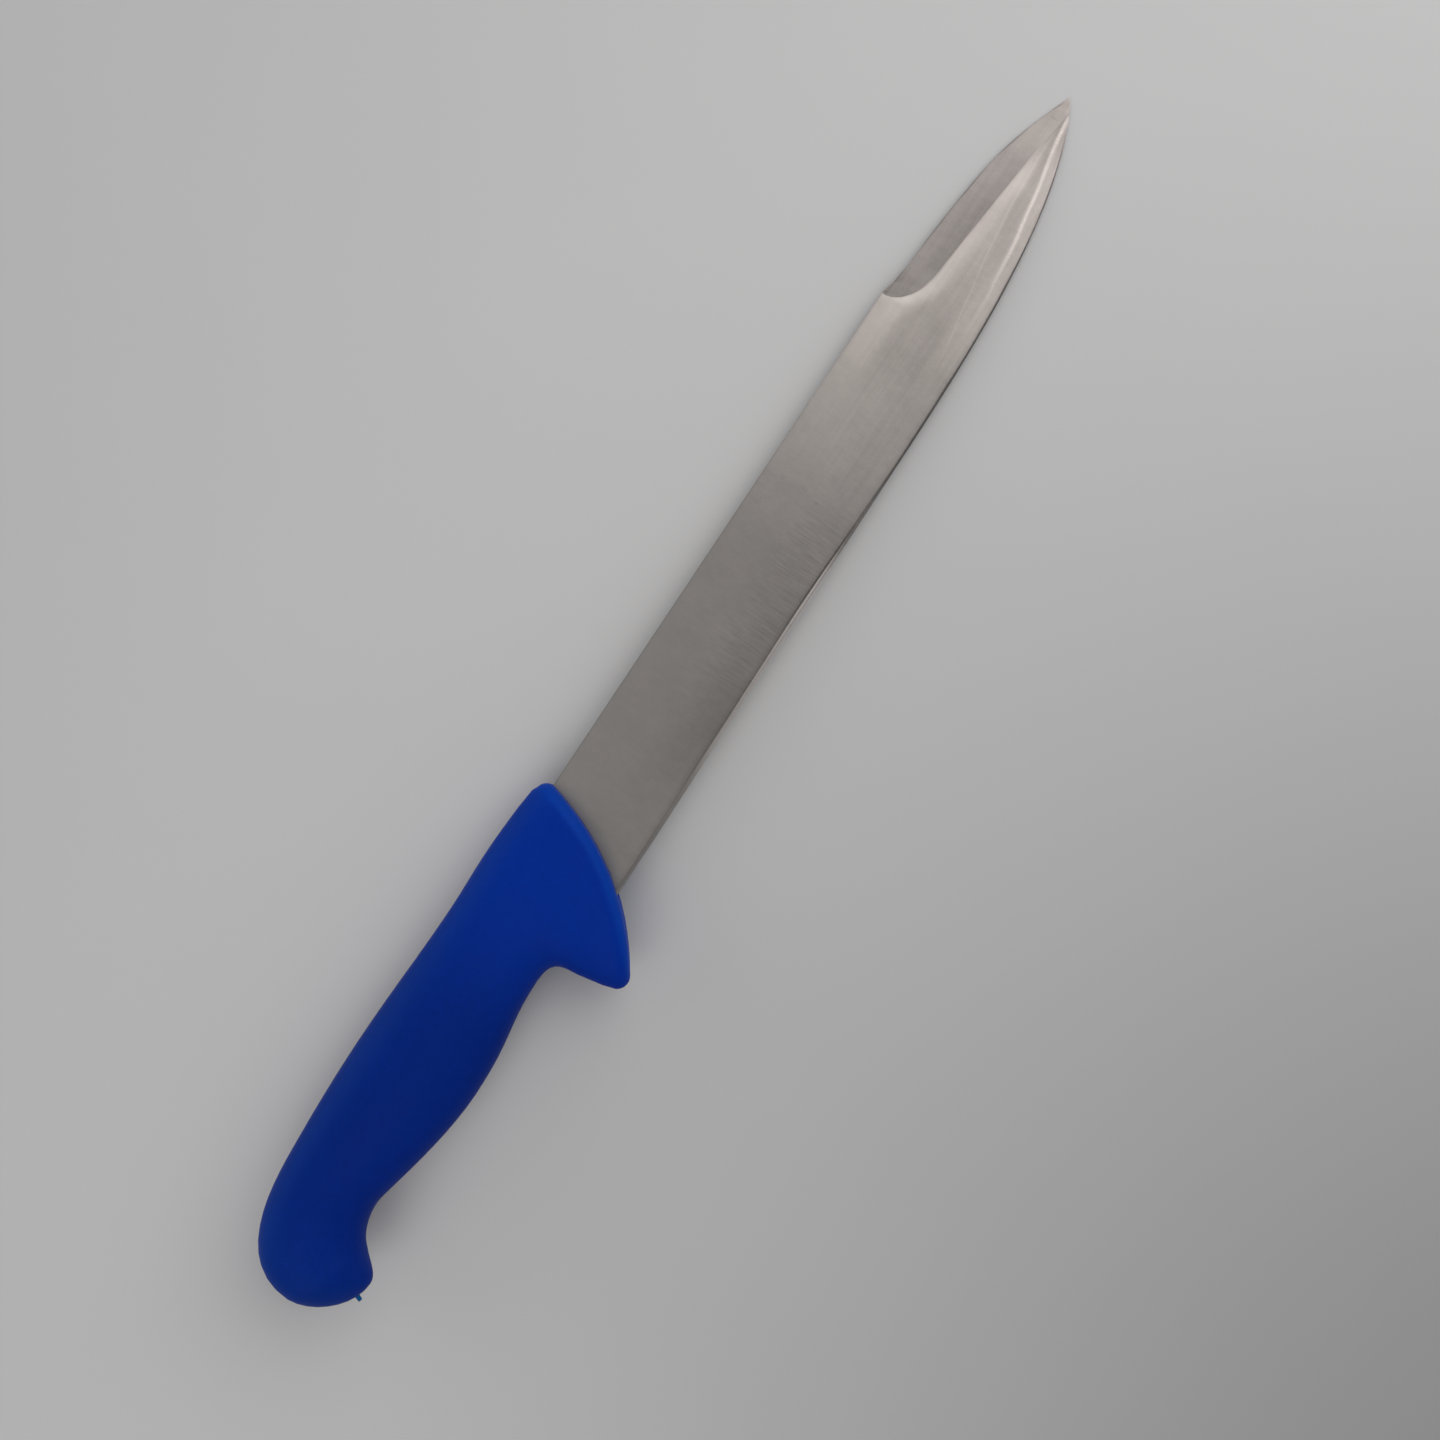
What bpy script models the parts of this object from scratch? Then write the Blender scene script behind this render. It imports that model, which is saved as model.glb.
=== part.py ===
"""Sticking knife: a stainless blade with a hidden tang, moulded into a one-piece handle.

The knife lies on its side. +X runs along the back of the blade to the point, +Y is the
spine side, -Y is the edge side, and +Z is up through the thickness. Both pieces are drawn
from the handle's nose, where the blade comes out: x = 0 at the nose, y = 0 on the spine
and z = 0 in the middle of the steel. At the end the knife is set down on z = 0, with the
middle of its box over the origin.
"""
import bmesh
import bpy
import numpy as np
from math import cos, pi, radians, sin
from mathutils import Vector
from mathutils.geometry import interpolate_bezier

for leftover in list(bpy.data.objects):
    bpy.data.objects.remove(leftover, do_unlink=True)

# Blade, seen from the side, in metres
BLADE_LENGTH = 0.2102         # nose of the handle to the point
BLADE_WIDTH = 0.0272          # spine to edge beside the handle
HEEL_REACH = 0.0020           # nose to where the heel's thicker grind starts to fade
FLANK_START = 0.0100          # nose to where it has turned into one long flat
EDGE_RISE = 0.0009            # width that the blade loses up to the start of the belly
BELLY_LENGTH = 0.0950         # point back to where the edge starts to sweep up
POINT_DROP = 0.0117           # point below the line of the spine
SWEDGE_LENGTH = 0.0672        # point back to where the scooped false edge starts
SWEDGE_RUN_IN = 0.0052        # length in which the scoop thins the back to the false edge
SWEDGE_STEP = 0.0012          # how far it lowers the back there
SCOOP_WIDTH = 0.0091          # spine down to the ridge, once the scoop is full
SCOOP_RUN_IN = 0.0151         # length in which the scoop opens to its full width
RIDGE_DROP = 0.0135           # ridge below the spine where it runs out
RIDGE_RUN_OUT = 0.0050        # point back to there

# Blade, through its thickness
SPINE_THICKNESS = 0.0026
EDGE_THICKNESS = 0.0004       # over the top of the edge bevel
HEEL_THICKNESS = 0.0006       # the same at the handle, where the grind starts
SWEDGE_THICKNESS = 0.0004     # along the false edge
POINT_TAPER = 0.045           # thickness gained for each unit back from the point
HEEL_BEVEL = 0.0009           # width of the edge bevel at the handle
POINT_BEVEL = 0.0004          # width of the edge bevel from the belly on
SCOOP_RADIUS = 0.040          # wheel that hollowed the scoop
BELLY_GRIND = 0.0030          # width of the steeper grind along the belly
BELLY_CROWN = 0.00006         # how far its upper border stands out
GRIND_SWEEP = 1.8             # how the border of the belly's grinds bends up; 1 is straight

# Tang, hidden in the handle
SHOULDER_DEPTH = 0.0220       # nose back to the shoulders
SHOULDER_LAND = 0.0025        # steel left unground in front of them
GRIND_RUN_IN = 0.0040         # length in which the grind reaches its full depth
SHOULDER_FILLET = 0.0020
TANG_COVER = 0.0335           # plastic behind the end of the tang
TANG_WIDTH = 0.0150
TANG_END_WIDTH = 0.0110
TANG_END_RADIUS = 0.0040
TANG_DROP = 0.0098            # middle of the tang below the line of the spine
TANG_HOLE = 0.0060
FRONT_HOLE_INSET = 0.0200     # shoulders back to the middle of the front hole
REAR_HOLE_INSET = 0.0200      # end of the tang forward to the middle of the rear hole
FIT = 0.0003                  # plastic to steel, all round

# Handle, seen from the side: measured back from the nose, and up or down from the spine
HANDLE_LENGTH = 0.1335
HEAD_RISE = 0.0024            # top corner of the nose
BROW_BACK = 0.0090            # where the back levels out behind it
BROW_RISE = 0.0041
HUMP_BACK = 0.0220            # back of the handle, over the guard
HUMP_RISE = 0.0045
SADDLE_BACK = 0.0380          # slight dip in the back, over the first finger
SADDLE_RISE = 0.0041
CREST_BACK = 0.0740           # fullest point of the back, over the palm
CREST_RISE = 0.0049
FRONT_LEAN = 10.0             # degrees that the front face leans back at the nose
FRONT_BOW = 0.0058            # bulge of the front face between nose and guard
COLLAR_BOW = 0.0050           # bulge left at the brow
HUMP_BOW = 0.0030             # and at the hump
FRONT_FILLET = 0.0030
GUARD_BACK = 0.0304           # foot of the front face, which is the tip of the guard
GUARD_DROP = 0.0420
GUARD_TIP_HEIGHT = 0.0060     # rounded end of the guard
GUARD_TIP_ROUND = 0.0012      # how far its rear face draws in there
GUARD_REAR = 0.0343           # rear face of the guard
GUARD_ROOT = 0.0059           # foot of that face, below the notch
NOTCH_BACK = 0.0410           # notch for the first finger
NOTCH_DROP = 0.0226
PALM_BACK = 0.0710            # fullest point of the palm swell
PALM_DROP = 0.0253
WAIST_INSET = 0.0290          # slimmest point, forward from the rear of the butt
WAIST_RISE = 0.0037
WAIST_DROP = 0.0200
REAR_DROP = 0.0147            # rearmost point of the butt
HOOK_INSET = 0.0124           # tip of the hook, forward from the rear of the butt
HOOK_DROP = 0.0292
HOOK_LEAD = 0.0058            # front of the hook, ahead of its tip and above it
HOOK_RISE = 0.0052

# Handle, through its thickness
HEAD_THICKNESS = 0.0210
GUARD_TIP_THICKNESS = 0.0140
GUARD_ROOT_THICKNESS = 0.0180
NOTCH_THICKNESS = 0.0185
PALM_THICKNESS = 0.0220
WAIST_THICKNESS = 0.0190
BUTT_THICKNESS = 0.0200

RING_POINTS = 44              # points around the handle, a multiple of four
FILLET_STEPS = 5


def material(name, colour, metallic, roughness):
    made = bpy.data.materials.new(name)
    made.use_nodes = True
    shader = made.node_tree.nodes["Principled BSDF"]
    shader.inputs["Base Color"].default_value = (*colour, 1.0)
    shader.inputs["Metallic"].default_value = metallic
    shader.inputs["Roughness"].default_value = roughness
    return made


def finish(name, shape):
    mesh = bpy.data.meshes.new(name)
    shape.to_mesh(mesh)
    shape.free()
    made = bpy.data.objects.new(name, mesh)
    bpy.context.collection.objects.link(made)
    return made


def loft(name, rings, rows_on_first=False):
    """Join rings of equal length into one closed mesh; a ring may shrink to a point.

    With rows_on_first the first ring is closed by rows of quads from its upper half to
    its lower half, which suits a curved face. Other ends are closed by one flat face.
    """
    shape = bmesh.new()
    loops = [[shape.verts.new(point) for point in ring] for ring in rings]
    count = len(rings[0])
    for near, far in zip(loops, loops[1:]):
        for k in range(count):
            shape.faces.new((near[k - 1], near[k], far[k], far[k - 1]))
    if rows_on_first:
        first = loops[0]
        shape.faces.new((first[0], first[1], first[-1]))
        for k in range(1, count // 2 - 1):
            shape.faces.new((first[k], first[k + 1], first[-k - 1], first[-k]))
        shape.faces.new((first[count // 2 - 1], first[count // 2], first[count // 2 + 1]))
    else:
        shape.faces.new(loops[0])
    shape.faces.new(loops[-1])
    bmesh.ops.remove_doubles(shape, verts=shape.verts, dist=1e-6)
    bmesh.ops.dissolve_degenerate(shape, edges=shape.edges, dist=1e-6)
    bmesh.ops.recalc_face_normals(shape, faces=shape.faces)
    return finish(name, shape)


def bezier(start, end, steps):
    """Points of one cubic Bezier piece between two knots, without its last point.

    A knot is (x, y, heading in degrees, pull before it, pull after it). A pull is the
    length of the curve's handle as a share of the distance between the two knots.
    """
    a, b = Vector(start[:2]), Vector(end[:2])
    leave, arrive = radians(start[2]), radians(end[2])
    reach = (b - a).length
    leaving = a + reach * start[4] * Vector((cos(leave), sin(leave)))
    arriving = b - reach * end[3] * Vector((cos(arrive), sin(arrive)))
    return interpolate_bezier(a, leaving, arriving, b, steps + 1)[:-1]


def ease(value, start, end):
    """0 up to start, 1 from end on, and a smooth rise between them."""
    share = min(max((value - start) / (end - start), 0.0), 1.0)
    return share * share * (3.0 - 2.0 * share)


def guide(cutter):
    cutter.hide_render = True
    cutter.display_type = "WIRE"
    return cutter


def cut(piece, cutter):
    boolean = piece.modifiers.new(cutter.name, "BOOLEAN")
    boolean.operation = "DIFFERENCE"
    boolean.solver = "EXACT"
    boolean.object = cutter


# Blade. It is one piece of steel, ground flat on both sides from the spine to a narrow
# edge bevel. Near the point the back is scooped out to a false edge, which leaves a crisp
# ridge, and the belly has two steeper grinds that run into that ridge.
belly_start = BLADE_LENGTH - BELLY_LENGTH
scoop_start = BLADE_LENGTH - SWEDGE_LENGTH
scoop_full = scoop_start + SCOOP_RUN_IN
swedge_start = scoop_start + SWEDGE_RUN_IN
ridge_end = BLADE_LENGTH - RIDGE_RUN_OUT
tip = Vector((BLADE_LENGTH, -POINT_DROP))
belly_knots = ((belly_start, EDGE_RISE - BLADE_WIDTH, 0.5, 0, 0.24), (*tip, 33, 0.275, 0))
swedge_knots = ((swedge_start, -SWEDGE_STEP, -1.6, 0, 0.647), (*tip, -19, 0.245, 0))
belly = [*bezier(*belly_knots, 120), tip]
swedge = [*bezier(*swedge_knots, 120), tip]
tang_end = TANG_COVER - HANDLE_LENGTH
heel_slope = (SPINE_THICKNESS - HEEL_THICKNESS) / 2 / (BLADE_WIDTH - HEEL_BEVEL)
flank_slope = (SPINE_THICKNESS - EDGE_THICKNESS) / 2 / (BLADE_WIDTH - HEEL_BEVEL)


def edge_line(x):
    if x > belly_start:
        return float(np.interp(x, [p.x for p in belly], [p.y for p in belly]))
    return EDGE_RISE * max(x, 0.0) / belly_start - BLADE_WIDTH


def back_line(x):
    if x > swedge_start:
        return float(np.interp(x, [p.x for p in swedge], [p.y for p in swedge]))
    return -SWEDGE_STEP * ease(x, scoop_start, swedge_start)


def ridge_line(x):
    """The ridge leaves the spine in a quarter ellipse, then runs straight."""
    if x < scoop_full:
        before = min(1.0, (scoop_full - x) / SCOOP_RUN_IN)
        return -SCOOP_WIDTH * (1.0 - before ** 2) ** 0.5
    knots = (scoop_full, ridge_end, BLADE_LENGTH)
    return float(np.interp(x, knots, (-SCOOP_WIDTH, -RIDGE_DROP, -POINT_DROP)))


def shoulder_line(x):
    """Top of the edge bevel, which narrows from the handle to the belly."""
    bevel = HEEL_BEVEL + (POINT_BEVEL - HEEL_BEVEL) * ease(x, 0.0, belly_start)
    return edge_line(x) + min(bevel, (back_line(x) - edge_line(x)) / 4)


def flank(x, y):
    """Half the thickness of the flat grind at a place on the blade."""
    slope = float(np.interp(x, (HEEL_REACH, FLANK_START), (heel_slope, flank_slope)))
    return SPINE_THICKNESS / 2 + slope * y


def whole_ring(x, back, edge, half, grow):
    """A ring across x from the half of its outline above z = 0, grown by a clearance."""
    middle = (back + edge) / 2
    half = [(y + (grow if y > middle else -grow), z + grow) for y, z in half]
    upper = [(x, y, z) for y, z in half]
    lower = [(x, y, -z) for y, z in reversed(half)]
    return [(x, back + grow, 0.0), *upper, (x, edge - grow, 0.0), *lower]


def ground_ring(x, grow=0.0):
    back, shoulder, edge = back_line(x), shoulder_line(x), edge_line(x)
    thickest = SWEDGE_THICKNESS / 4 + POINT_TAPER / 2 * (BLADE_LENGTH - x)
    ridge = max(min(ridge_line(x), back), shoulder)
    ridge_z = min(flank(x, ridge), thickest)
    thinned = (SWEDGE_THICKNESS - SPINE_THICKNESS) / 2 * ease(x, scoop_start, swedge_start)
    back_z = min(SPINE_THICKNESS / 2 + thinned, ridge_z)
    shoulder_z = min(flank(x, shoulder), thickest / 2)
    ahead = max(ridge_end - x, 0.0) / (ridge_end - belly_start)
    border = (shoulder_line(belly_start) + RIDGE_DROP) * ahead ** GRIND_SWEEP - RIDGE_DROP
    border = min(max(border, shoulder), ridge)
    border_z = min(flank(x, border), ridge_z) if border > shoulder else shoulder_z
    full = ease(x, belly_start, scoop_start)
    crest = shoulder + min(BELLY_GRIND * full, (border - shoulder) / 2)
    share = (crest - shoulder) / max(border - shoulder, 1e-9)
    crest_z = shoulder_z + (border_z - shoulder_z) * share + BELLY_CROWN * full * share
    half = [(back, back_z)]
    for share in (0.25, 0.5, 0.75):
        hollow = (back - ridge) ** 2 / (2 * SCOOP_RADIUS) * share * (1 - share)
        half.append((back + (ridge - back) * share, back_z + (ridge_z - back_z) * share - hollow))
    half += [(ridge, ridge_z), (border, border_z), (crest, crest_z), (shoulder, shoulder_z)]
    return whole_ring(x, back, edge, half, grow)


def flat_ring(x, back, edge, grow):
    """Unground steel: the ground ring's points gather at the corners of a rectangle."""
    z = SPINE_THICKNESS / 2
    return whole_ring(x, back, edge, [(back, z)] * 5 + [(edge, z)] * 3, grow)


def tang_rings(grow=0.0):
    """From the rounded end of the tang up to the unground steel before the shoulders."""
    widths = []
    rear, front = tang_end - grow, -SHOULDER_DEPTH - grow
    radius, fillet = TANG_END_RADIUS + grow, SHOULDER_FILLET - grow
    for turn in np.linspace(0.0, pi / 2, 5):
        half = TANG_END_WIDTH / 2 - radius * (1.0 - sin(turn)) + grow
        widths.append((rear + radius * (1.0 - cos(turn)), half - grow))
    for turn in np.linspace(0.0, pi / 2, 5):
        half = TANG_WIDTH / 2 + fillet * (1.0 - cos(turn))
        widths.append((front - fillet * (1.0 - sin(turn)), half))
    rings = [flat_ring(x, half - TANG_DROP, -half - TANG_DROP, grow) for x, half in widths]
    for x in (front, SHOULDER_LAND - SHOULDER_DEPTH):
        rings.append(flat_ring(x, 0.0, -BLADE_WIDTH, grow))
    return rings


def hole_pins(name, diameter):
    """Upright pins in the places of the tang's holes."""
    pins = bmesh.new()
    for x in (-SHOULDER_DEPTH - FRONT_HOLE_INSET, tang_end + REAR_HOLE_INSET):
        pin = bmesh.ops.create_cone(pins, cap_ends=True, segments=24, radius1=diameter / 2,
                                    radius2=diameter / 2, depth=SPINE_THICKNESS * 3)
        bmesh.ops.translate(pins, verts=pin["verts"], vec=(x, -TANG_DROP, 0.0))
    return guide(finish(name, pins))


ground_start = SHOULDER_LAND + GRIND_RUN_IN - SHOULDER_DEPTH
places = [ground_start, HEEL_REACH, FLANK_START, *np.linspace(belly_start, scoop_start, 7)]
places += list(scoop_full - SCOOP_RUN_IN * np.cos(np.linspace(0.0, pi / 2, 13)[1:]))
places += list(np.linspace(scoop_full, ridge_end, 19)[1:])
places += list(np.linspace(ridge_end, BLADE_LENGTH, 6)[1:-1])
point_ring = [(*tip, 0.0)] * 18
blade = loft("blade", [*tang_rings(), *[ground_ring(x) for x in places], point_ring])
cut(blade, hole_pins("tang_hole_cutter", TANG_HOLE))
blade.data.materials.append(material("stainless_steel", (0.47, 0.45, 0.43), 1.0, 0.34))

# Room for the blade and its tang inside the handle. The plastic fills the holes in the
# tang, so posts stand in the room there and the steel can't be pulled out.
open_end = ground_ring(SHOULDER_DEPTH, FIT)
hidden = [ground_ring(ground_start, FIT), ground_ring(HEEL_REACH, FIT), open_end]
tang_room = guide(loft("tang_room", [*tang_rings(FIT), *hidden]))
cut(tang_room, hole_pins("tang_posts", TANG_HOLE - 2 * FIT))

# Handle. It is one moulding, drawn as rings that fan out from the front face to the tip of
# the hook. Each ring runs from a point on its back to a point on its belly, and both
# points follow smooth rails through the stations below.


def ring_points(back, belly_point, form):
    """An egg-shaped superellipse from back to belly, bowed forward in its middle.

    form is half the thickness at the back, half at the belly, squareness and bow. Each
    point comes with the direction that the ring faces there.
    """
    half, low_half, squareness, bow = form
    chord = belly_point - back
    ahead = Vector((-chord.y, chord.x)).normalized()
    points, facing = [], []
    for k in range(RING_POINTS):
        c, s = cos(2 * pi * k / RING_POINTS), sin(2 * pi * k / RING_POINTS)
        down = 0.5 - 0.5 * np.sign(c) * abs(c) ** (2.0 / squareness)
        up = np.sign(s) * abs(s) ** (2.0 / squareness)
        plan = back + chord * down + ahead * bow * 4 * down * (1.0 - down)
        along = chord + ahead * bow * 4 * (1.0 - 2 * down)
        points.append(Vector((plan.x, plan.y, up * (half + (low_half - half) * down))))
        facing.append(Vector((-along.y, along.x, 0.0)).normalized())
    return points, facing


def fillet_rings(rim, facing, radius):
    """Rings that round the front rim, from the front face out to the wall behind it."""
    rings = []
    for turn in np.linspace(pi / 2, 0.0, FILLET_STEPS + 1):
        ring = []
        for k, point in enumerate(rim):
            run = rim[(k + 1) % len(rim)] - rim[k - 1]
            outward = run.cross(facing[k]).normalized()
            ring.append(point - radius * (facing[k] * (1.0 - sin(turn)) + outward * (1.0 - cos(turn))))
        rings.append(ring)
    return rings


lean = radians(FRONT_LEAN)
nose = FRONT_FILLET * (cos(lean) + sin(lean) - 1.0)
waist, hook = WAIST_INSET - HANDLE_LENGTH, HOOK_INSET - HANDLE_LENGTH
# Each station: knot on the back, knot on the belly, thickness at both, squareness, bow and
# the number of rings up to the next station
stations = [
    ((nose, HEAD_RISE, 155, 0, 0.30), (-GUARD_BACK, -GUARD_DROP, 122, 0, 0.45),
     HEAD_THICKNESS, GUARD_TIP_THICKNESS, 3.0, FRONT_BOW, 2),
    ((-BROW_BACK, BROW_RISE, 177, 0.40, 0.33),
     (GUARD_TIP_ROUND - GUARD_REAR, GUARD_TIP_HEIGHT - GUARD_DROP, 98, 0.40, 0.33),
     HEAD_THICKNESS, GUARD_TIP_THICKNESS, 2.9, COLLAR_BOW, 4),
    ((-HUMP_BACK, HUMP_RISE, 180.5, 0.33, 0.33),
     (-GUARD_REAR, -NOTCH_DROP - GUARD_ROOT, 95, 0.33, 0.34),
     HEAD_THICKNESS, GUARD_ROOT_THICKNESS, 2.7, HUMP_BOW, 8),
    ((-SADDLE_BACK, SADDLE_RISE, 180, 0.33, 0.33), (-NOTCH_BACK, -NOTCH_DROP, 180, 0.70, 0.42),
     NOTCH_THICKNESS, NOTCH_THICKNESS, 2.4, 0.0, 11),
    ((-CREST_BACK, CREST_RISE, 180, 0.35, 0.33), (-PALM_BACK, -PALM_DROP, 180, 0.53, 0.41),
     PALM_THICKNESS, PALM_THICKNESS, 2.3, 0.0, 11),
    ((waist, WAIST_RISE, 184, 0.40, 0.32), (waist, -WAIST_DROP, 180, 0.076, 0.43),
     WAIST_THICKNESS, WAIST_THICKNESS, 2.2, 0.0, 12),
    ((-HANDLE_LENGTH, -REAR_DROP, 270, 0.46, 0.36),
     (hook + HOOK_LEAD, HOOK_RISE - HOOK_DROP, 224.6, 0.30, 0.42),
     BUTT_THICKNESS, BUTT_THICKNESS, 2.2, 0.0, 9),
    ((hook, -HOOK_DROP, 360, 0.32, 0), (hook, -HOOK_DROP, 180, 0.30, 0),
     0.0, 0.0, 2.2, 0.0, 0),
]
face = stations[0]
rim, facing = ring_points(Vector(face[0][:2]), Vector(face[1][:2]),
                          (face[2] / 2, face[3] / 2, face[4], face[5]))
rings = fillet_rings(rim, facing, FRONT_FILLET)
for here, there in zip(stations, stations[1:]):
    steps = here[6]
    backs, bellies = bezier(here[0], there[0], steps), bezier(here[1], there[1], steps)
    span = (bellies[0] - backs[0]).length
    for step in range(steps):
        if here is face and step == 0:
            continue
        share = ease(step, 0, steps)
        form = [a + (b - a) * share for a, b in zip(here[2:6], there[2:6])]
        if there is stations[-1]:
            form[0] = form[1] = here[2] * (bellies[step] - backs[step]).length / span
        form = (form[0] / 2, form[1] / 2, form[2], form[3])
        rings.append(ring_points(backs[step], bellies[step], form)[0])
rings.append([(hook, -HOOK_DROP, 0.0)] * RING_POINTS)
handle = loft("handle", rings, rows_on_first=True)
cut(handle, tang_room)
handle.data.materials.append(material("blue_plastic", (0.002, 0.022, 0.20), 0.0, 0.50))

for piece in (blade, handle):
    piece.data.shade_smooth()
blade.data.set_sharp_from_angle(angle=radians(3))
handle.data.set_sharp_from_angle(angle=radians(35))

# Set the knife down on z = 0 with the middle of its box over the origin
knife = bpy.data.objects.new("knife", None)
bpy.context.collection.objects.link(knife)
for made in list(bpy.data.objects):
    if made is not knife:
        made.parent = knife
evaluated = bpy.context.evaluated_depsgraph_get()
corners = []
for piece in (blade, handle):
    solid = piece.evaluated_get(evaluated)
    corners += [np.array(corner_point) for corner_point in solid.bound_box]
low, high = np.min(corners, axis=0), np.max(corners, axis=0)
knife.location = (-(low[0] + high[0]) / 2, -(low[1] + high[1]) / 2, -low[2])
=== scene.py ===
"""A sticking knife with a ground steel blade and a moulded plastic handle, on a pale table."""
from math import atan, atan2, cos, radians, tan

import bmesh
import bpy
from mathutils import Matrix, Vector
from mathutils.bvhtree import BVHTree


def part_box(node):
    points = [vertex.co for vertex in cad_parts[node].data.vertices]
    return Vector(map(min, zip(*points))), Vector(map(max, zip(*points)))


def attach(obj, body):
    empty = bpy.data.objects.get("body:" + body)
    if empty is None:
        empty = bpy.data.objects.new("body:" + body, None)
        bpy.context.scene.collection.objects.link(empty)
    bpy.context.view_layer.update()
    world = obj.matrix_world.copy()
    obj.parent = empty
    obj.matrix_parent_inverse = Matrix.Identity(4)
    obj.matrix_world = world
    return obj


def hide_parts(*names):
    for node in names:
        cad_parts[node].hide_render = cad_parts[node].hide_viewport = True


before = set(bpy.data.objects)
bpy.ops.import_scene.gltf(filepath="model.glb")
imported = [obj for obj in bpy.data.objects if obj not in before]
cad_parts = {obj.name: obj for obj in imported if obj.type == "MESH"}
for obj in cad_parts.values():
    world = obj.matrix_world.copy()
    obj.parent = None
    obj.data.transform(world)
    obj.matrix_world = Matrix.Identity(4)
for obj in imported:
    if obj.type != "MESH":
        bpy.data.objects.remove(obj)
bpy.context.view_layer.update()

# Blade. A strip of stainless steel, ground flat on both sides down to a narrow edge bevel,
# with a false edge hollowed out of its back near the point and two steeper grinds along the
# belly. The wheels leave a crisp ridge, and fine marks across and along the steel.
MM = 0.001
BLADE_REACH = 0.2102          # nose of the handle to the point
OUT_OF_SIGHT = 0.012          # nose back to where the steel needs no eased edges
MERGE = 1e-6                  # vertices of the CAD model nearer than this are one
COPLANAR = radians(0.2)
FACETED = radians(5.5)        # faces that meet at less than this are one smooth surface
BACK_TURN = radians(60)       # the back's corners are sharper than this
BACK_EASE = 0.00015           # width that they are eased by
RIDGE_EASE = 0.00012
BACK_FACING = 0.7             # faces whose normal points up by more than this are the back's
EDGE_FACING = -0.1            # and those with less than this are ground towards the edge
RING = 0.00004                # vertices of the CAD model nearer than this along x are one ring
ROW = 0.001                   # rows of vertices along the scoop are further apart than this
FLANK_SLOPE = 0.0418          # half thickness that the flat gains for each unit up

# places on the steel, in millimetres: x forward from the nose, y up from the spine
SCOOP_START, SCOOP_FULL, FIT_END, RIDGE_END = 143.0, 158.1, 205.2, 208.2
SCOOP_WIDTH, RIDGE_FALL = 9.1, 0.0934
NEAR = 0.2                    # a vertex this close to the ridge is on it
STATION = 15.0                # the lines below go through heights this far apart
BELLY_START, EDGE_START, BACK_START = 115.0, -5.0, 145.0
CREST_LINE = (-25.5, -24.5, -22.7, -21.5, -19.6, -16.9, -14.2)
BORDER_LINE = (-25.6, -22.0, -19.7, -17.0, -14.9, -13.7, -13.3)
EDGE_LINE = (-26.3, -26.05, -25.8, -25.62, -25.4, -25.25, -25.5, -25.75, -25.9, -25.65, -25.25,
             -24.2, -22.4, -19.1, -14.3)
BACK_LINE = (-0.9, -1.84, -3.09, -5.24, -9.8, -15.5)
SCRATCH = (203.4, -11.2)
SMUDGES = ((92.6, -10.9, 1.1), (91.4, -15.0, 0.9), (92.2, -4.5, 0.7), (176.0, -12.8, 0.5))

blade_low, blade_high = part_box("blade")
nose = Vector((blade_high.x - BLADE_REACH, blade_high.y, (blade_low.z + blade_high.z) / 2))


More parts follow.
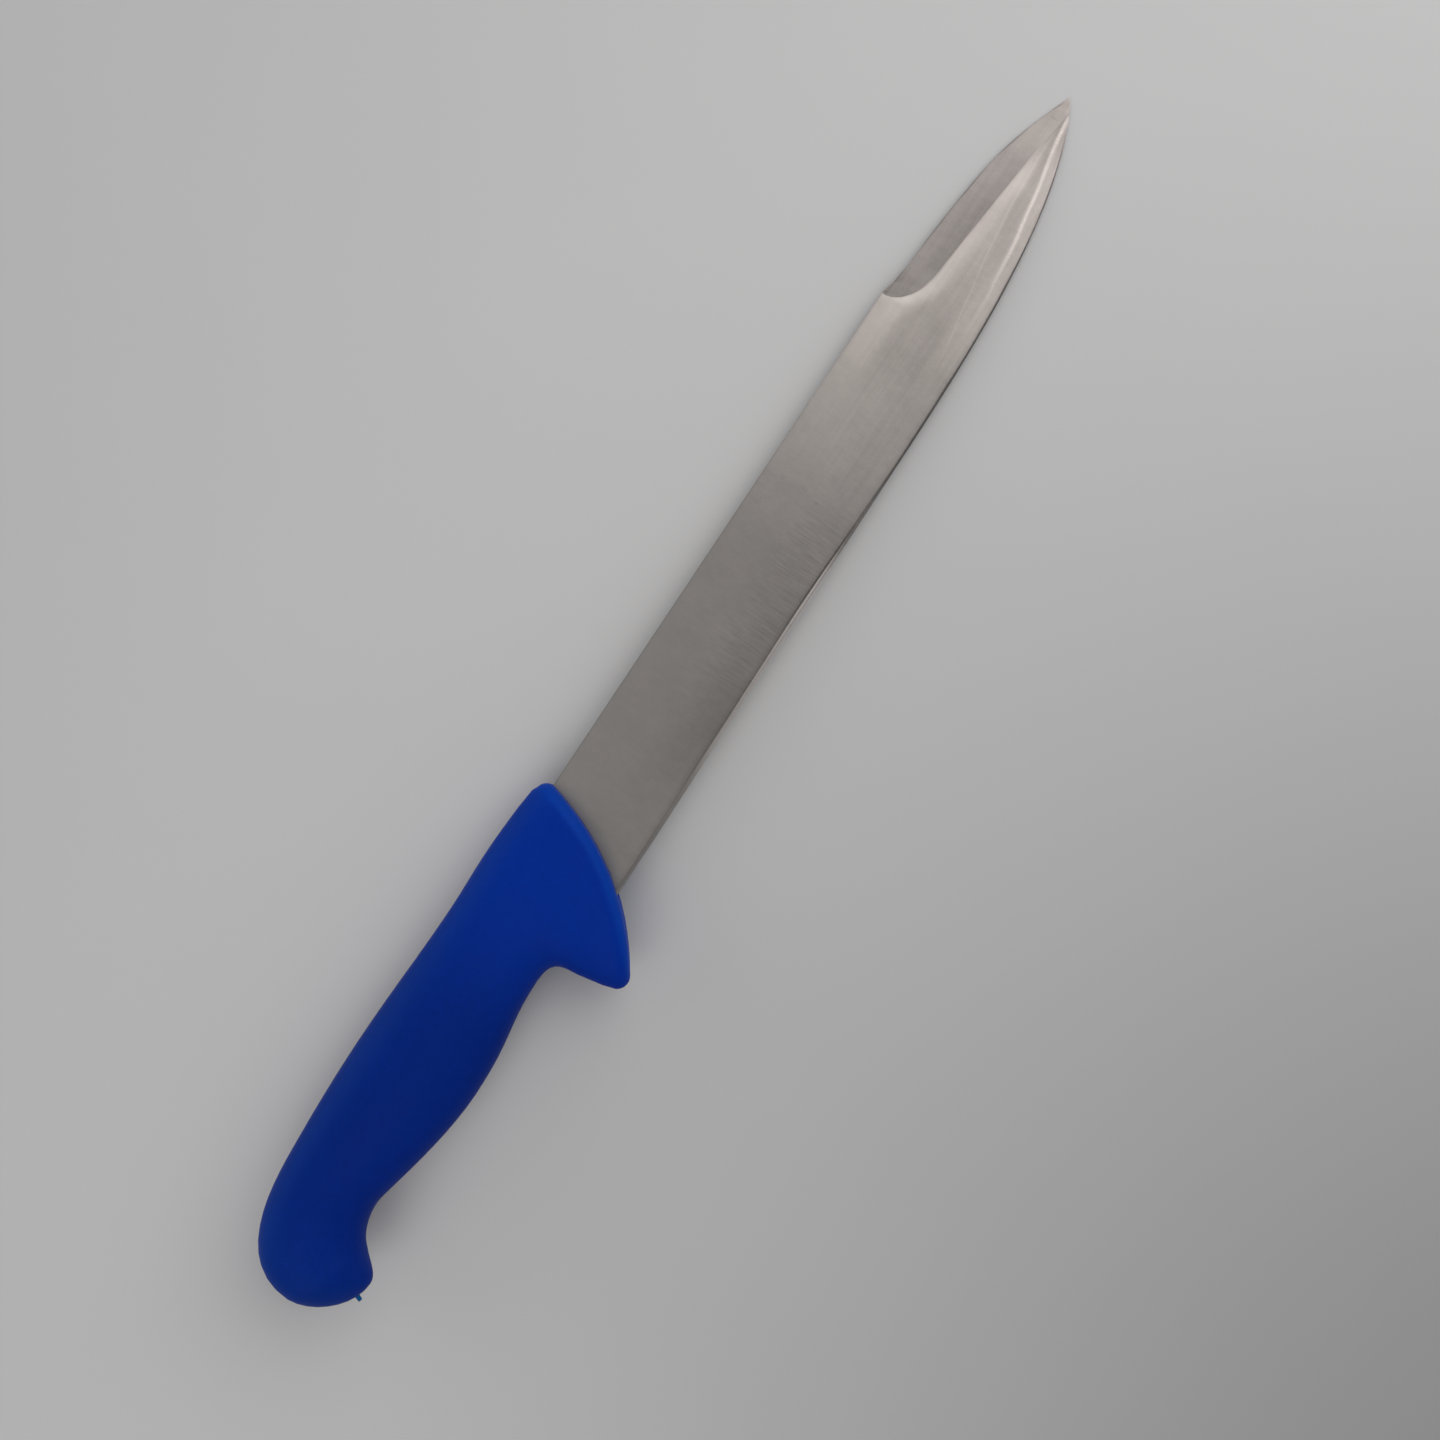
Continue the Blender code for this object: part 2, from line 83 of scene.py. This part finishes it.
class Wire:
    """A socket of a material. Sums and products of wires add Math nodes."""

    def __init__(self, socket):
        self.socket = socket

    def node(self, kind, inputs=(), output=0, stops=(), **settings):
        """Any other node of the same material, with its settings made before its links."""
        made = self.socket.node.id_data.nodes.new("ShaderNode" + kind)
        for name, value in settings.items():
            setattr(made, name, value)
        if stops:
            made.color_ramp.interpolation = "CARDINAL"
            made.color_ramp.elements.remove(made.color_ramp.elements[-1])
            for place, _ in stops[1:]:
                made.color_ramp.elements.new(place)
            for element, (_, value) in zip(made.color_ramp.elements, stops):
                element.color = (value, value, value, 1.0)
        for place, value in dict(inputs).items():
            if isinstance(value, Wire):
                made.id_data.links.new(value.socket, made.inputs[place])
            else:
                made.inputs[place].default_value = value
        return Wire(made.outputs[output])

    def maths(self, operation, *values):
        return self.node("Math", dict(enumerate(values)), operation=operation)

    def __add__(self, other):
        return self.maths("ADD", self, other)

    def __sub__(self, other):
        return self.maths("SUBTRACT", self, other)

    def __rsub__(self, other):
        return self.maths("SUBTRACT", other, self)

    def __mul__(self, other):
        return self.maths("MULTIPLY", self, other)

    def __pow__(self, other):
        return self.maths("POWER", self, other)

    __radd__, __rmul__ = __add__, __mul__

    def rise(self, start, end):
        """0 up to start, 1 from end on, and a smooth rise between them."""
        ends = {0: self, 1: start, 2: end, 3: 0.0, 4: 1.0}
        return self.node("MapRange", ends, interpolation_type="SMOOTHSTEP")

    def fall(self, start, end):
        """1 up to start, 0 from end on, and a smooth fall between them."""
        return 1.0 - self.rise(start, end)

    def band(self, start, full, fade, end):
        """1 from full to fade, and smoothly down to 0 at start and at end."""
        return self.rise(start, full) * self.fall(fade, end)

    def within(self, half_width):
        """1 at 0, falling smoothly to 0 at half_width to either side of it."""
        return self.maths("ABSOLUTE", self).fall(0.0, half_width)

    def noise(self, scale, detail=3.0, roughness=0.5):
        """Even noise about 0, from -0.5 to 0.5."""
        inputs = {"Vector": self, "Scale": scale, "Detail": detail, "Roughness": roughness}
        return self.node("TexNoise", inputs) - 0.5

    def stretched(self, location=(0, 0, 0), rotation=(0, 0, 0), scale=(1, 1, 1)):
        turn = {"Vector": self, "Location": location, "Rotation": rotation, "Scale": scale}
        return self.node("Mapping", turn)

    def mixed(self, other, share):
        """This colour where share is 0, and the other where it is 1."""
        inputs = {"Factor": share, 6: self, 7: other}
        return self.node("Mix", inputs, output=2, data_type="RGBA")

    def toned(self, tone):
        """This colour, lighter or darker."""
        return self.node("VectorMath", {0: self, "Scale": tone}, operation="SCALE")


def new_material(name, metallic, roughness):
    """A material, its Principled shader and the knife's own coordinates in millimetres."""
    made = bpy.data.materials.new(name)
    made.use_nodes = True
    shader = made.node_tree.nodes["Principled BSDF"]
    shader.inputs["Metallic"].default_value = metallic
    shader.inputs["Roughness"].default_value = roughness
    here = Wire(made.node_tree.nodes.new("ShaderNodeTexCoord").outputs["Object"])
    return made, shader, here.stretched(location=-nose / MM, scale=(1 / MM, 1 / MM, 1 / MM))


def feed(shader, socket, wire):
    shader.id_data.links.new(wire.socket, shader.inputs[socket])


def between(place, one, other, share):
    """A colour that varies between two by a share."""
    inputs = {"Factor": share, 6: (*one, 1.0), 7: (*other, 1.0)}
    return place.node("Mix", inputs, output=2, data_type="RGBA")


def axis(place, number):
    return place.node("SeparateXYZ", {0: place}, output=number)


def joined_copy(node):
    """A copy of a CAD node's mesh, with its loose triangles joined into whole faces."""
    shape = bmesh.new()
    shape.from_mesh(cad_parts[node].data)
    bmesh.ops.remove_doubles(shape, verts=shape.verts, dist=MERGE)
    return shape


def piece(name, shape, material):
    mesh = bpy.data.meshes.new(name)
    shape.to_mesh(mesh)
    shape.free()
    mesh.materials.append(material)
    made = bpy.data.objects.new(name, mesh)
    bpy.context.scene.collection.objects.link(made)
    return made


def line_through(x, start, heights):
    """The height at x of a smooth line through heights that are a station apart."""
    last = len(heights) - 1
    ends = {0: x, 1: start, 2: start + STATION * last, 3: 0.0, 4: 1.0}
    stops = [(k / last, height / min(heights)) for k, height in enumerate(heights)]
    return x.node("ValToRGB", {0: x.node("MapRange", ends)}, stops=stops) * min(heights)


def rise(x, start, end):
    """Wire.rise, for a plain number too."""
    if isinstance(x, Wire):
        return x.rise(start, end)
    share = min(max((x - start) / (end - start), 0.0), 1.0)
    return share * share * (3.0 - 2.0 * share)


def above_zero(x):
    """The value, or 0 where it is less, for a wire or a plain number."""
    return x.maths("MAXIMUM", x, 0.0) if isinstance(x, Wire) else max(x, 0.0)


def cad_ridge(x):
    """The height at x of the CAD model's ridge: a quarter ellipse and then a straight fall."""
    lead = above_zero(SCOOP_FULL - x) * (1 / (SCOOP_FULL - SCOOP_START))
    depth = above_zero(1.0 - lead * lead) ** 0.5 * -SCOOP_WIDTH
    return depth - above_zero(x - SCOOP_FULL) * RIDGE_FALL


def ridge_lift(x):
    """How far the photographed ridge is above that of the CAD model."""
    return rise(x, 148.5, 152.5) * 0.31 + rise(x, 168.0, 182.0) * 0.09 - rise(x, 194.0, 205.0) * 0.40


def back_lift(x):
    """The same for the back along the scoop, which drops more gently and then lies lower."""
    return (rise(x, 144.0, 147.0) * 0.28 - rise(x, 148.0, 153.0) * 0.46 - rise(x, 160.0, 168.0) * 0.06
            + rise(x, 174.0, 192.0) * 0.24)


def scoop_ridge(x):
    return cad_ridge(x) + ridge_lift(x)


def steel():
    made, shader, place = new_material("ground_steel", metallic=1.0, roughness=0.32)
    x, y = axis(place, 0), axis(place, 1)
    down = 0.0 - y

    # the lines where the grinds meet
    ridge, past_start = scoop_ridge(x), x.rise(SCOOP_START, SCOOP_START + 0.1)
    scoop = past_start * (y - ridge).rise(-0.05, 0.05)
    crest, border = line_through(x, BELLY_START, CREST_LINE), line_through(x, BELLY_START, BORDER_LINE)
    edge, back = line_through(x, EDGE_START, EDGE_LINE), line_through(x, BACK_START, BACK_LINE)

    # marks of the wheels across and along the blade, and unevenness of the grind
    across = place.stretched(scale=(5.0, 0.10, 0.10)).noise(1.0, detail=3.0, roughness=0.6)
    beat = place.stretched(scale=(2.7, 0.16, 0.16)).noise(1.0, detail=0.0)
    along = place.stretched(rotation=(0, 0, radians(-3)), scale=(0.03, 1.1, 1.1)).noise(1.0)
    bands = place.stretched(scale=(0.22, 0.015, 0.015)).noise(1.0, detail=2.0)
    mottle = place.stretched(scale=(0.55, 0.35, 0.35)).noise(1.0, detail=3.0, roughness=0.6)
    grain = place.noise(3.2, detail=2.0, roughness=0.7)
    clouds = place.noise(0.10, detail=2.0)
    wheel_beat = beat * down.rise(9.0, 18.0) * x.band(34.0, 48.0, 86.0, 104.0)
    marks = (across * 0.11 + grain * 0.20 + wheel_beat * 0.24 + clouds * 0.12 + mottle * 0.17
             + bands * (0.05 + scoop * 0.08) + along * x.rise(84.0, 112.0) * 0.20)

    # the flat, painted lighter and darker as reflections of lighter and darker parts of the room
    low = down.rise(12.0, 25.0) * x.band(5.0, 35.0, 132.0, 150.0)
    high = down.fall(0.0, 22.0) * x.fall(150.0, 160.0)
    root = x.fall(0.0, 75.0) * (1.0 - low)
    dim_reflection = x.band(50.0, 70.0, 88.0, 112.0) * (1.0 - down.rise(15.0, 23.0) * 0.7)
    dark_reflection_band = down.band(5.0, 9.0, 17.0, 21.0) * x.band(112.0, 138.0, 146.0, 168.0)
    bright_reflection = (y + 3.0).within(6.0) * x.rise(108.0, 140.0) * (1.0 - scoop)
    flat = (high * 0.08 + root * 0.10 + bright_reflection * 0.14 - low * 0.13 - dim_reflection * 0.08 - dark_reflection_band * 0.16
            - x.fall(91.3, 93.6) * 0.05 - x.rise(148.0, 172.0) * 0.06 - x.rise(190.0, 204.0) * 0.26)

    # the scoop, painted as a darker reflection, darkest where the wheel plunged in, and painted
    # highlights on the bright steel round its ridge
    plunge = scoop * x.fall(144.0, 153.0)
    dusk = scoop * x.fall(147.0, 163.0) * y.rise(-8.0, -4.0)
    foot = scoop * (y - ridge).fall(0.5, 3.0) * x.fall(155.0, 168.0)
    ridge_highlight = (ridge - y).band(0.0, 0.6, 1.2, 5.0) * x.rise(140.0, 146.0)
    lead = (SCOOP_FULL - x) * (1 / (SCOOP_FULL - SCOOP_START))
    reach = lead * lead + y * y * SCOOP_WIDTH ** -2
    rim = reach.band(1.0, 1.06, 1.3, 2.3) * x.fall(150.0, 157.0) * down.rise(2.0, 6.0)
    scooped = (ridge_highlight * (0.30 - x.rise(160.0, 172.0) * 0.12 + x.rise(176.0, 186.0) * 0.05)
               + rim * 0.14 - plunge * 0.42 - dusk * 0.12 + foot * 0.08
               - scoop * (0.15 - x.rise(187.0, 202.0) * 0.32))

    # the belly's two grinds, with a painted glint along the crest between them, a painted bright line
    # along their border and painted darker reflections beside them
    shade = (y - crest).rise(0.4, 1.4) * (y - border).fall(-1.2, 0.0) * x.rise(150.0, 178.0)
    inner = (y - crest).rise(0.2, 0.7) * (ridge - y).rise(0.0, 0.5) * x.rise(184.0, 195.0)
    below = (crest - y).rise(0.3, 1.0) * x.rise(192.0, 204.0)
    glint = (y - crest).within(0.8) * x.band(140.0, 182.0, 204.0, 207.0)
    border_glint = (y - border).within(0.40) * x.band(126.0, 150.0, 196.0, 203.0)
    glint_sparkles = place.noise(2.4, detail=0.0).rise(0.15, 0.22) * glint
    belly = (glint * (0.36 - x.rise(184.0, 196.0) * 0.20) + glint_sparkles * 0.25 + border_glint * 0.10
             - shade * 0.10 - inner * 0.26 - below * 0.12)

    # painted dark and bright reflections along the edge bevel and the back, then a scratch at the
    # point and a few smudges
    edge_dark_reflection = (y - edge).within(0.45) * (0.5 - x.rise(176.0, 188.0) * 0.3
                                             + x.band(55.0, 75.0, 160.0, 178.0))
    edge_soft_shade = (y - edge).within(1.7) * x.fall(150.0, 170.0)
    edge_highlight = (edge - y).rise(0.15, 0.35) * x.band(12.0, 34.0, 74.0, 92.0)
    back_dark_reflection = (y - back * past_start).within(0.38) * x.fall(206.0, 209.0)
    edge_reflections = (edge_highlight * 0.8 - edge_dark_reflection * 0.27 - edge_soft_shade * 0.12
            - back_dark_reflection * (0.22 + scoop * (x.rise(145.0, 156.0) * 0.24 - 0.12)))
    dirt = (x - SCRATCH[0]).within(0.22) * (y - SCRATCH[1]).within(1.5) * 0.20
    for spot_x, spot_y, radius in SMUDGES:
        off_x, off_y = x - spot_x, y - spot_y
        dirt = dirt + (off_x * off_x * 2.0 + off_y * off_y).fall(0.0, radius * radius) * 0.07

    base = between(place, (0.402, 0.372, 0.345), (0.410, 0.368, 0.352),
                   x.rise(90.0, 200.0) * 0.75 + clouds * 0.8 + 0.1)
    feed(shader, "Base Color", base.toned(1.03 + marks + flat + scooped + belly + edge_reflections - dirt))
    feed(shader, "Roughness", 0.32 + across * 0.08 - glint * 0.06 + scoop * 0.03)
    bump = {"Strength": 0.22, "Distance": 0.02 * MM, "Height": across + wheel_beat + along * 0.3}
    feed(shader, "Normal", place.node("Bump", bump))
    return made


def on_steel(vert):
    """Where a vertex is, in millimetres forward from the nose and up from the spine."""
    return (vert.co.x - nose.x) / MM, (vert.co.y - nose.y) / MM


def on_ridge(vert):
    x, y = on_steel(vert)
    return SCOOP_START - NEAR < x < RIDGE_END and abs(y - scoop_ridge(x)) < NEAR


def across_scoop(ends):
    """Whether an edge with these ends crosses the scoop from row to row."""
    places = [on_steel(vert) for vert in ends]
    inside = all(x > SCOOP_START - NEAR and y - scoop_ridge(x) > -NEAR for x, y in places)
    return inside and abs(ends[0].co.y - ends[1].co.y) > ROW


def fit_scoop(shape):
    """Move the scoop's ridge and back from the CAD model's lines onto the photographed ones."""
    heights = {}
    for vert in shape.verts:
        x, y = on_steel(vert)
        if SCOOP_START < x < FIT_END and y - cad_ridge(x) > -NEAR:
            heights[vert] = y - cad_ridge(x)
    for vert, height in heights.items():
        x = on_steel(vert)[0]
        top = max(heights[v] for v in heights if abs(on_steel(v)[0] - x) < RING / MM)
        share = min(max(height / max(top, 0.1), 0.0), 1.0)
        lift = ridge_lift(x) * (1.0 - share)
        side = 1 if vert.co.z > nose.z else -1
        vert.co += Vector((0.0, lift + back_lift(x) * share, side * lift * FLANK_SLOPE)) * MM


blade_shape = joined_copy("blade")
fit_scoop(blade_shape)
bmesh.ops.dissolve_limit(blade_shape, angle_limit=COPLANAR, verts=blade_shape.verts,
                         edges=blade_shape.edges)
in_view = [e for e in blade_shape.edges if len(e.link_faces) == 2
           and min(v.co.x for v in e.verts) > nose.x - OUT_OF_SIGHT]
back_edges = [e for e in in_view if e.calc_face_angle() > BACK_TURN
              and max(f.normal.y for f in e.link_faces) > BACK_FACING]
ridge_edges = [e for e in in_view if FACETED < e.calc_face_angle() < BACK_TURN
               and min(f.normal.y for f in e.link_faces) > EDGE_FACING
               and (all(on_ridge(v) for v in e.verts) or not across_scoop(e.verts))]
for edges, width in ((ridge_edges, RIDGE_EASE), (back_edges, BACK_EASE)):
    bmesh.ops.bevel(blade_shape, geom=[e for e in edges if e.is_valid], offset=width / 2,
                    offset_type="OFFSET", affect="EDGES", segments=2, profile=0.5, material=-1,
                    clamp_overlap=True)
blade = piece("ground_blade", blade_shape, steel())
blade.data.shade_smooth()
blade.data.set_sharp_from_angle(angle=FACETED)
for edge in blade.data.edges:
    ends = [blade.data.vertices[v] for v in edge.vertices]
    if all(on_ridge(v) for v in ends):
        edge.use_edge_sharp = True
    elif across_scoop(ends):
        edge.use_edge_sharp = False
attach(blade, "root")
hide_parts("blade")

# Handle. One moulding of matt blue plastic, shot round the tang so that it grips the steel
# all over. It has a deep guard in front, a palm swell and a hooked butt, a fine spark
# texture on all of its skin, and a parting line where the two halves of the mould met.
GRIP_GAP = 0.00045            # plastic nearer to the steel than this is moulded against it
GRIP_CLEARANCE = 0.00002
CORNER = radians(38)


def plastic(name, deep, light):
    """Matt plastic. deep and light are its tones towards the butt and towards the nose."""
    made, shader, place = new_material(name, metallic=0.0, roughness=0.5)
    shader.inputs["Specular IOR Level"].default_value = 0.04
    x = axis(place, 0)
    clouds, mottle = place.noise(0.05, detail=3.0), place.noise(0.5, detail=3.0, roughness=0.6)
    grain = place.noise(2.6, detail=3.0, roughness=0.65)
    specks = place.noise(0.9, detail=1.0).rise(0.27, 0.30)
    parting = axis(place, 2).within(0.09)

    # painted light: the flanks, the hook and the front face are painted in lighter blues, as if they
    # caught more of the room's light
    facing = place.node("TexCoord", output=1)
    front = axis(facing, 0).rise(0.02, 0.50) * x.rise(-34.0, -26.0)
    flank = axis(facing, 1).rise(0.10, 0.80) * (1.0 - front)
    hook = x.fall(-128.0, -108.0) * (0.4 - axis(facing, 0) * 0.5)
    base = between(place, deep, light, x.rise(-60.0, -24.0) * 0.8 + clouds * 0.4 + grain * 0.2 + 0.1)
    base = base.mixed(between(place, (0.0035, 0.040, 0.27), (0.0040, 0.046, 0.31), grain + 0.5),
                      flank * 0.45 + hook * 0.5)
    base = base.mixed(between(place, (0.0015, 0.043, 0.35), (0.0020, 0.050, 0.39), grain + 0.5),
                      front * 0.9)
    tone = 1.0 + grain * 0.26 + mottle * 0.22 + specks * 0.25 - parting * 0.25
    feed(shader, "Base Color", base.toned(tone))
    feed(shader, "Roughness", 0.50 + grain * 0.12 + clouds * 0.08)
    bump = {"Strength": 0.35, "Distance": 0.03 * MM, "Height": grain - parting * 2.0}
    feed(shader, "Normal", place.node("Bump", bump))
    return made


handle_shape = joined_copy("handle")
steel_shape = joined_copy("blade")
steel_skin = BVHTree.FromBMesh(steel_shape)
steel_shape.free()
for vert in handle_shape.verts:
    touch = steel_skin.find_nearest(vert.co, GRIP_GAP)[0]
    if touch:
        vert.co = touch + (vert.co - touch).normalized() * GRIP_CLEARANCE
handle_skin = BVHTree.FromBMesh(handle_shape)
bmesh.ops.join_triangles(handle_shape, faces=handle_shape.faces,
                         angle_face_threshold=radians(25), angle_shape_threshold=radians(60))
handle = piece("moulded_handle", handle_shape,
               plastic("blue_plastic", (0.0009, 0.0185, 0.196), (0.0012, 0.0300, 0.325)))
handle.data.shade_smooth()
handle.data.set_sharp_from_angle(angle=CORNER)
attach(handle, "root")
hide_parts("handle")

# Gate. The plastic went into the mould at the heel of the hook, and the stub of it that was
# snapped off there still stands out.
GATE_PLACE = Vector((-0.1253, -0.0286, 0.0))     # from the nose
GATE_WIDTH = 0.0012
GATE_END_WIDTH = 0.00096
GATE_LENGTH = 0.0014
GATE_ROOT = 0.0003            # length of it inside the handle's skin
GATE_EASE = 0.00015

on_skin, outwards, _, _ = handle_skin.find_nearest(nose + GATE_PLACE)
gate_turn = Vector((outwards.x, outwards.y, 0.0)).to_track_quat("Z", "Y").to_matrix().to_4x4()
gate_shape = bmesh.new()
bmesh.ops.create_cone(gate_shape, cap_ends=True, segments=20, radius1=GATE_WIDTH / 2,
                      radius2=GATE_END_WIDTH / 2, depth=GATE_LENGTH + GATE_ROOT)
bmesh.ops.translate(gate_shape, verts=gate_shape.verts, vec=(0, 0, (GATE_LENGTH - GATE_ROOT) / 2))
gate_end = [e for e in gate_shape.edges if all(v.co.z > 0 for v in e.verts)]
bmesh.ops.bevel(gate_shape, geom=gate_end, offset=GATE_EASE, offset_type="OFFSET",
                affect="EDGES", segments=3, profile=0.5, material=-1)
gate_shape.transform(Matrix.Translation(on_skin) @ gate_turn)
gate = piece("gate_stub", gate_shape,
             plastic("gate_blue", (0.006, 0.100, 0.270), (0.012, 0.140, 0.320)))
gate.data.shade_smooth()
gate.data.set_sharp_from_angle(angle=CORNER)
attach(gate, "root")

# Table. A pale sheet, with painted shade: darker towards one corner and lighter towards the picture's
# right. The knife lies on the fattest part of its head and on its point, so the table runs down
# towards the butt as the CAD model sees it.
TILT = radians(2.63)          # knife's own axis against the table
REST_BACK = 0.013             # nose back to where the head touches the table
REST_HALF = 0.0105            # half the head's thickness there
TABLE_SIZE = 3.0
TURN = radians(-0.162)        # knife against the line that the camera was squared to
NOSE_ASIDE = Vector((-0.0348, 0.02462, REST_HALF - REST_BACK * tan(TILT)))
SHADED_CORNER = Vector((-0.035, -0.383, 0.0))
SHADE_REACH = 504.0            # millimetres from that corner to where its painted shade has faded out
RIGHT = Vector((0.5505, -0.8348, 0.0))     # the picture's right, on the table
RIGHTWARD_LIGHT_GAIN = 0.00085      # painted light gained for each millimetre that way

from_table = (Matrix.Translation(nose)
              @ (Matrix.Translation(NOSE_ASIDE) @ Matrix.Rotation(TURN, 4, "Z")
                 @ Matrix.Rotation(TILT, 4, "Y")).inverted())


def pale_table():
    made, shader, place = new_material("pale_table", metallic=0.0, roughness=0.6)
    corner, centre = ((from_table @ spot - nose) / MM for spot in (SHADED_CORNER, Vector()))
    rightwards = from_table.to_3x3() @ RIGHT
    away = place.node("VectorMath", {0: place, 1: corner}, output=1, operation="DISTANCE")
    right = place.node("VectorMath", {0: place, 1: rightwards}, output=1,
                       operation="DOT_PRODUCT") - centre.dot(rightwards)
    # painted shade and light: the sheet darkens towards the shaded corner and lightens towards the
    # picture's right, standing in for the room's uneven light
    share = (away.rise(0.0, SHADE_REACH) + right * RIGHTWARD_LIGHT_GAIN) * 0.87
    base = between(place, (0.176, 0.172, 0.176), (0.762, 0.755, 0.750),
                   share + place.noise(0.02, detail=2.0) * 0.02)
    feed(shader, "Base Color", base)
    return made


table_shape = bmesh.new()
bmesh.ops.create_grid(table_shape, x_segments=1, y_segments=1, size=TABLE_SIZE / 2,
                      matrix=from_table)
table = piece("table", table_shape, pale_table())

# Camera and light. The camera hangs over the table and looks straight down. The room is
# dim, with three soft lights: high beyond the point of the knife, high beyond its butt, and
# low beyond its back.
CAMERA_HEIGHT = 0.355
CAMERA_ROLL = atan2(-0.8352, 0.55)      # the knife runs up the picture's diagonal
PICTURE, FOCAL_LENGTH = 1440, 1444      # both in pixels
ROOM = 0.28
LIGHTS = (                    # bearing from the table, size in degrees from full to none, strength
    ((0.813, -0.100, 0.574), 7, 46, 1.50),
    ((-0.614, -0.043, 0.788), 8, 28, 1.60),
    ((-0.104, 0.991, 0.087), 12, 42, 1.00),
)
SHADE_TINT, LIGHT_TINT = (0.965, 0.985, 1.04), (1.0, 0.99, 0.975)
LIT = 1.1                     # strength from which the light has its own tint

camera = bpy.data.objects.new("camera", bpy.data.cameras.new("camera"))
camera.data.sensor_fit = "HORIZONTAL"
camera.data.angle = 2 * atan(PICTURE / 2 / FOCAL_LENGTH)
camera.data.clip_start = 0.01
camera.matrix_world = (from_table @ Matrix.Translation((0, 0, CAMERA_HEIGHT))
                       @ Matrix.Rotation(CAMERA_ROLL, 4, "Z"))
bpy.context.scene.collection.objects.link(camera)
bpy.context.scene.camera = camera

world = bpy.data.worlds.new("room")
bpy.context.scene.world = world
world.use_nodes = True
backdrop = world.node_tree.nodes["Background"]
direction = Wire(world.node_tree.nodes.new("ShaderNodeTexCoord").outputs["Generated"])
strength = ROOM
for bearing, full, none, bright in LIGHTS:
    towards = (from_table.to_3x3() @ Vector(bearing)).normalized()
    facing = direction.node("VectorMath", {0: direction, 1: towards}, output=1,
                            operation="DOT_PRODUCT")
    strength = strength + facing.rise(cos(radians(none)), cos(radians(full))) * bright
feed(backdrop, "Strength", strength)
feed(backdrop, "Color", between(strength, SHADE_TINT, LIGHT_TINT, strength.rise(ROOM, LIT)))
bpy.context.scene.view_settings.view_transform = "Standard"
